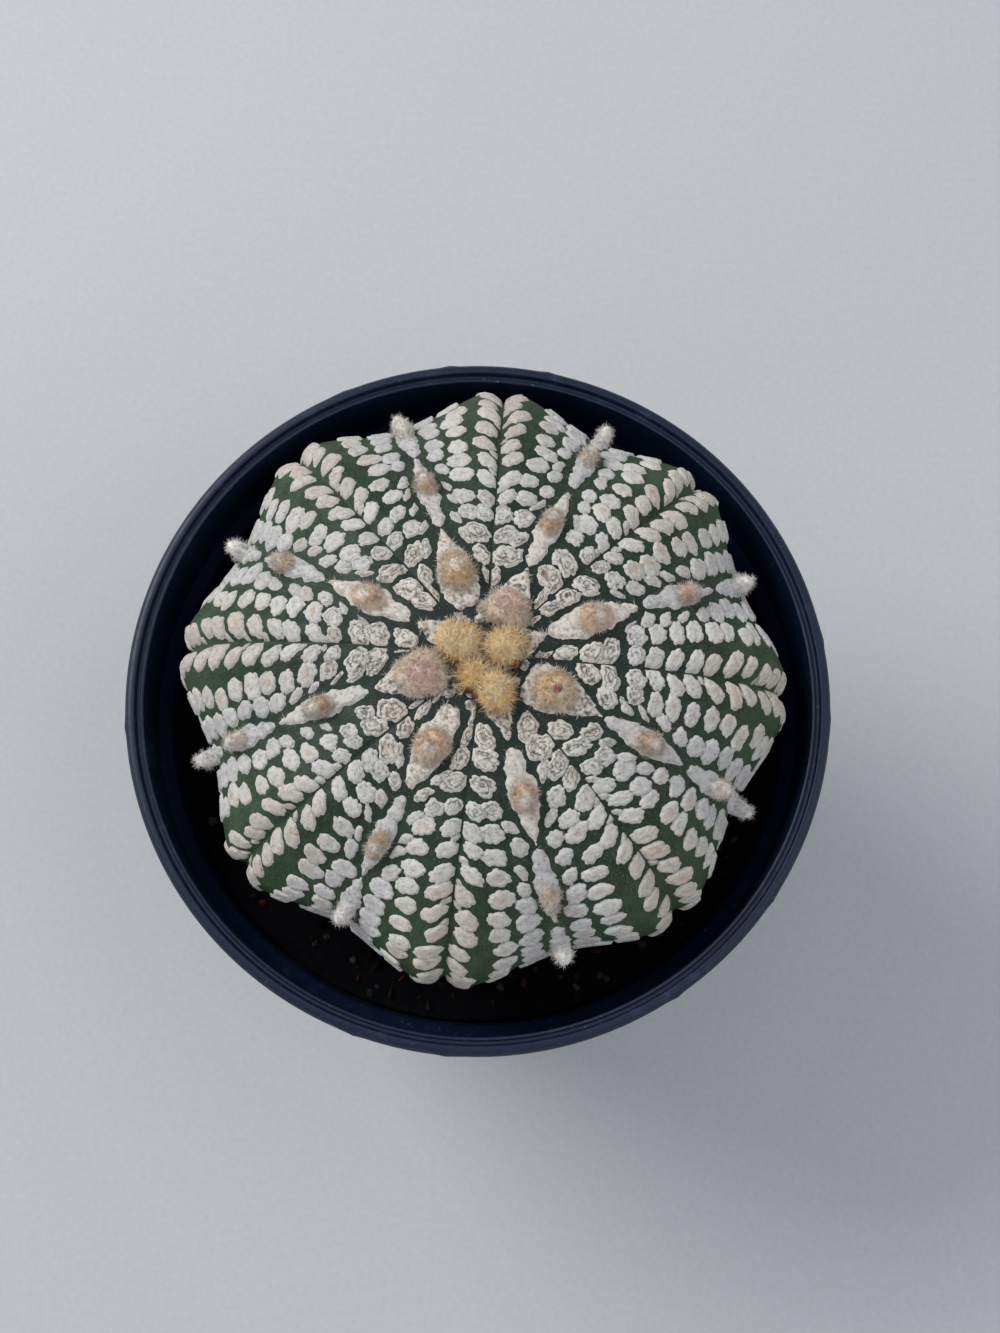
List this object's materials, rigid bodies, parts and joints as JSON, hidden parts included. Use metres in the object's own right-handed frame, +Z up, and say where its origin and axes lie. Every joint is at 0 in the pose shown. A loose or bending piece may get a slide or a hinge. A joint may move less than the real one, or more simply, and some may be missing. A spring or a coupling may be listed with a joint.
{
  "type": "potted sea urchin cactus",
  "caption": "Low round spineless cactus with shallow ribs, woolly areoles and white felt flecks, seated just inside the rim of a round tapered plastic nursery pot.",
  "frame": {"origin": "centre of the pot's foot, on the surface that the pot stands on", "axes": "+Z up along the pot's axis. +X is the picture's right and +Y the picture's top, seen from above"},
  "size_m": [0.08, 0.08, 0.0855],
  "materials": {
    "pot_plastic": "satin black moulded plastic with fine dust",
    "potting_mix": "dark crumbly peat and grit",
    "cactus_skin": "matt dark green skin under raised cream felt flecks",
    "crown_wool": "soft golden wool"
  },
  "bodies": {
    "root": {"pot": "pot_plastic", "potting_mix": "potting_mix", "cactus": "cactus_skin", "crown_wool": "crown_wool"}
  },
  "joints": []
}
